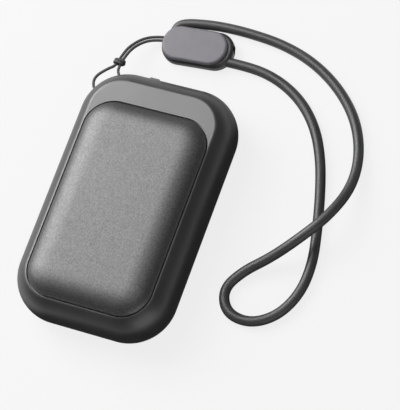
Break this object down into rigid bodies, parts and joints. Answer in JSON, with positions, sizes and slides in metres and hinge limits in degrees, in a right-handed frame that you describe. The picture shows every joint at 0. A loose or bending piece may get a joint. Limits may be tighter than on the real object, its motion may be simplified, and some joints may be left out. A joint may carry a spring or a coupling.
{
  "type": "rechargeable hand warmer",
  "caption": "Pocket hand warmer: rounded flat case with a raised metal heat plate on the front, a press key and indicator lights on the back, a covered charging port and a wrist lanyard.",
  "frame": {"origin": "centre of the case's flat back face, on the floor", "axes": "+X to the right seen from the front, +Y towards the charging port, +Z out of the front face with the heat plate, up"},
  "size_m": [0.0959, 0.1146, 0.02],
  "materials": {
    "case_plastic": "soft-touch satin",
    "plate_metal": "bead-blasted, anodised dark grey",
    "key_plastic": "soft-touch satin",
    "guide_clear": "clear, lit",
    "silicone": "matte",
    "string_cord": "braided",
    "tag_plastic": "satin",
    "tag_cover": "satin, mauve grey",
    "adhesive": "matte",
    "foam": "open-cell",
    "film": "amber film",
    "cell_foil": "laminated foil",
    "board_green": "solder mask",
    "component_black": "moulded",
    "component_grey": "moulded",
    "component_tan": "ceramic",
    "lead_red": "smooth",
    "lead_black": "smooth",
    "steel": "plated",
    "lamp": "diffusing"
  },
  "bodies": {
    "case": {"front_shell": "case_plastic", "back_shell": "case_plastic", "heat_plate": "plate_metal", "plate_tape": "adhesive", "heater_film": "film", "insulation_pad": "foam", "temperature_sensor": "component_black", "battery_cell": "cell_foil", "battery_pad": "foam", "cell_protector": "board_green", "battery_lead_red": "lead_red", "battery_lead_black": "lead_black", "heater_leads": "lead_black", "main_board": "board_green", "board_screws": "steel", "storage_coil": "component_grey", "power_chips": "component_black", "capacitors": "component_tan", "charge_port": "steel", "port_tongue": "component_black", "cover_anchor": "silicone", "tact_switch": "component_grey", "indicator_lamps": "lamp", "light_guide": "guide_clear", "case_screws": "steel", "lanyard_string": "string_cord", "hitch_band": "string_cord", "string_knot": "string_cord", "tag_body": "tag_plastic", "tag_plate": "tag_cover", "strap_loop": "silicone"},
    "key": {"power_key": "key_plastic"},
    "plunger": {"switch_plunger": "component_black"},
    "cover": {"port_cover": "silicone"}
  },
  "joints": [
    {"name": "key_press", "type": "slide", "parent": "case", "child": "key", "axis": [0, 0, 1], "range_m": [0, 0.00035], "stiffness_N_per_m": 400},
    {"name": "plunger_press", "type": "slide", "parent": "case", "child": "plunger", "axis": [0, 0, 1], "range_m": [0, 0.00035]},
    {"name": "cover_swing", "type": "hinge", "parent": "case", "child": "cover", "pos_m": [0.009, 0.0432, 0.0086], "axis": [0, 0, -1], "range_deg": [0, 100]}
  ],
  "couplings": [
    {"joint": "plunger_press", "follows": "key_press", "ratio": 1}
  ]
}
